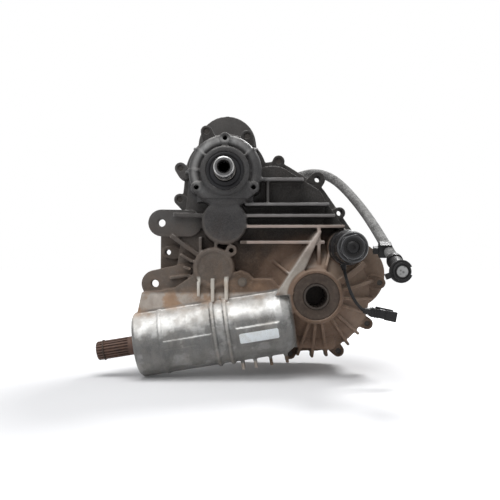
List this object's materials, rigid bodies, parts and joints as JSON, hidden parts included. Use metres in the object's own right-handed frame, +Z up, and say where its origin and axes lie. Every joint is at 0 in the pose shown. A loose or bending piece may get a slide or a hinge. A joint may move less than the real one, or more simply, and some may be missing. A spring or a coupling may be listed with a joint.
{
  "type": "vehicle transmission",
  "caption": "Cast two-range gear case for a small off-road vehicle, with clutch-side input, built-in axle differential, angled front output snout, lock solenoid and sensor lead.",
  "frame": {"origin": "on the axle axis, at the mouth of the clutch-side axle hub", "axes": "+Z up, +X from the front output towards the axle, -Y out of the clutch side, along the shafts"},
  "size_m": [0.4254, 0.3156, 0.3906],
  "materials": {
    "case_casting": "sand-cast, dark with oily dust",
    "machined_alloy": "bright, lightly stained",
    "gear_steel": "ground and oiled",
    "shaft_steel": "dark with light surface rust",
    "zinc_steel": "dull zinc",
    "bearing_steel": "polished races with sealed faces",
    "black_rubber": "matt",
    "brown_rubber": "matt, dusty",
    "gasket_fibre": "compressed fibre",
    "black_plastic": "moulded, slightly dusty",
    "black_paint": "satin black",
    "loom_sleeve": "mottled grey wrap"
  },
  "bodies": {
    "case": {"front_case": "case_casting", "rear_case": "case_casting", "case_gasket": "gasket_fibre", "case_bolts": "zinc_steel", "input_seal": "black_rubber", "axle_seal_front": "brown_rubber", "axle_seal_rear": "brown_rubber", "output_seal": "black_rubber", "input_bearings": "bearing_steel", "counter_bearings": "bearing_steel", "intermediate_bearings": "bearing_steel", "transfer_bearings": "bearing_steel", "differential_bearings": "bearing_steel", "output_bearings": "bearing_steel", "idler_pin": "gear_steel", "fork_rail": "gear_steel", "top_cover": "machined_alloy", "top_cover_screws": "zinc_steel", "gear_position_sensor": "black_plastic", "solenoid_body": "black_paint", "solenoid_nut": "black_paint", "solenoid_plug": "black_plastic", "level_plug": "zinc_steel", "drain_plug": "zinc_steel", "sensor_loom": "loom_sleeve", "loom_connector": "black_plastic", "loom_clip": "black_plastic", "solenoid_lead": "black_plastic", "lead_connector": "black_plastic"},
    "input": {"input_shaft": "shaft_steel"},
    "counter": {"counter_shaft": "gear_steel"},
    "high": {"high_gear": "gear_steel"},
    "low": {"low_gear": "gear_steel"},
    "collar": {"dog_collar": "gear_steel"},
    "intermediate": {"intermediate_shaft": "gear_steel", "intermediate_gear": "gear_steel"},
    "reverse": {"reverse_gear": "gear_steel"},
    "idler": {"reverse_idler": "gear_steel"},
    "carrier": {"differential_carrier": "gear_steel", "ring_gear": "gear_steel", "ring_bolts": "zinc_steel", "cross_pin": "gear_steel"},
    "spider_upper": {"spider_gear_upper": "gear_steel"},
    "spider_lower": {"spider_gear_lower": "gear_steel"},
    "side_front": {"side_gear_front": "shaft_steel"},
    "side_rear": {"side_gear_rear": "shaft_steel"},
    "lock_sleeve": {"lock_collar": "gear_steel"},
    "lock_shifter": {"lock_fork": "gear_steel", "lock_rod": "gear_steel"},
    "transfer": {"transfer_shaft": "gear_steel", "transfer_bevel": "gear_steel"},
    "output": {"output_shaft": "shaft_steel", "output_snap_ring": "zinc_steel"},
    "fork": {"shift_fork": "machined_alloy"},
    "drum": {"shift_drum": "gear_steel", "selector_lever": "zinc_steel", "lever_nut": "zinc_steel"},
    "lock_ring": {"loom_lock_ring": "black_plastic"}
  },
  "joints": [
    {"name": "intermediate_spin", "type": "hinge", "parent": "case", "child": "intermediate", "pos_m": [-0.05673, 0.1, 0.05782], "axis": [0, 1, 0], "continuous": true},
    {"name": "counter_spin", "type": "hinge", "parent": "case", "child": "counter", "pos_m": [-0.12956, 0.1, 0.10541], "axis": [0, 1, 0], "continuous": true},
    {"name": "high_gear_spin", "type": "hinge", "parent": "case", "child": "high", "pos_m": [-0.12956, 0.095, 0.10541], "axis": [0, 1, 0], "continuous": true},
    {"name": "low_gear_spin", "type": "hinge", "parent": "case", "child": "low", "pos_m": [-0.12956, 0.057, 0.10541], "axis": [0, 1, 0], "continuous": true},
    {"name": "input_spin", "type": "hinge", "parent": "case", "child": "input", "pos_m": [-0.1283, 0.06, 0.1774], "axis": [0, 1, 0], "continuous": true},
    {"name": "reverse_gear_spin", "type": "hinge", "parent": "case", "child": "reverse", "pos_m": [-0.05673, 0.13, 0.05782], "axis": [0, 1, 0], "continuous": true},
    {"name": "reverse_idler_spin", "type": "hinge", "parent": "case", "child": "idler", "pos_m": [-0.14488, 0.13, 0.03967], "axis": [0, 1, 0], "continuous": true},
    {"name": "differential_spin", "type": "hinge", "parent": "case", "child": "carrier", "pos_m": [0, 0.066, 0], "axis": [0, 1, 0], "continuous": true},
    {"name": "transfer_spin", "type": "hinge", "parent": "case", "child": "transfer", "pos_m": [-0.07616, 0.09, -0.04205], "axis": [0, 1, 0], "continuous": true},
    {"name": "output_spin", "type": "hinge", "parent": "case", "child": "output", "pos_m": [-0.19462, 0.03, -0.06123], "axis": [-0.9871, 0, -0.1599], "continuous": true},
    {"name": "front_hub_spin", "type": "hinge", "parent": "carrier", "child": "side_front", "pos_m": [0, 0.02, 0], "axis": [0, 1, 0], "continuous": true},
    {"name": "rear_hub_spin", "type": "hinge", "parent": "carrier", "child": "side_rear", "pos_m": [0, 0.12, 0], "axis": [0, 1, 0], "continuous": true},
    {"name": "upper_spider_spin", "type": "hinge", "parent": "carrier", "child": "spider_upper", "pos_m": [0, 0.066, 0.02], "axis": [0, 0, 1], "continuous": true},
    {"name": "lower_spider_spin", "type": "hinge", "parent": "carrier", "child": "spider_lower", "pos_m": [0, 0.066, -0.02], "axis": [0, 0, 1], "continuous": true},
    {"name": "collar_slide", "type": "slide", "parent": "counter", "child": "collar", "axis": [0, -1, 0], "range_m": [0, 0.006]},
    {"name": "fork_slide", "type": "slide", "parent": "case", "child": "fork", "axis": [0, -1, 0], "range_m": [0, 0.006]},
    {"name": "selector_turn", "type": "hinge", "parent": "case", "child": "drum", "pos_m": [-0.054, 0.12, 0.14], "axis": [0, 1, 0], "range_deg": [0, 60]},
    {"name": "lock_rod_slide", "type": "slide", "parent": "case", "child": "lock_shifter", "axis": [0, 1, 0], "range_m": [0, 0.0046]},
    {"name": "lock_collar_slide", "type": "slide", "parent": "side_front", "child": "lock_sleeve", "axis": [0, 1, 0], "range_m": [0, 0.0046]},
    {"name": "connector_ring_turn", "type": "hinge", "parent": "case", "child": "lock_ring", "pos_m": [0.0972, -0.095, 0.0386], "axis": [0, 1, 0], "range_deg": [0, 60]}
  ],
  "couplings": [
    {"joint": "counter_spin", "follows": "intermediate_spin", "ratio": -1.6364},
    {"joint": "high_gear_spin", "follows": "intermediate_spin", "ratio": -1.6364},
    {"joint": "input_spin", "follows": "intermediate_spin", "ratio": 2.7273},
    {"joint": "low_gear_spin", "follows": "intermediate_spin", "ratio": -1.3636},
    {"joint": "reverse_idler_spin", "follows": "intermediate_spin", "ratio": 0.90282},
    {"joint": "reverse_gear_spin", "follows": "intermediate_spin", "ratio": -0.84457},
    {"joint": "differential_spin", "follows": "intermediate_spin", "ratio": -0.31707},
    {"joint": "transfer_spin", "follows": "intermediate_spin", "ratio": 0.76471},
    {"joint": "output_spin", "follows": "intermediate_spin", "ratio": -0.76471},
    {"joint": "rear_hub_spin", "follows": "front_hub_spin", "ratio": -1},
    {"joint": "upper_spider_spin", "follows": "front_hub_spin", "ratio": 1.6},
    {"joint": "lower_spider_spin", "follows": "front_hub_spin", "ratio": -1.6},
    {"joint": "collar_slide", "follows": "selector_turn", "m_per_rad": 0.0057296},
    {"joint": "fork_slide", "follows": "selector_turn", "m_per_rad": 0.0057296},
    {"joint": "lock_collar_slide", "follows": "lock_rod_slide", "ratio": 1}
  ]
}
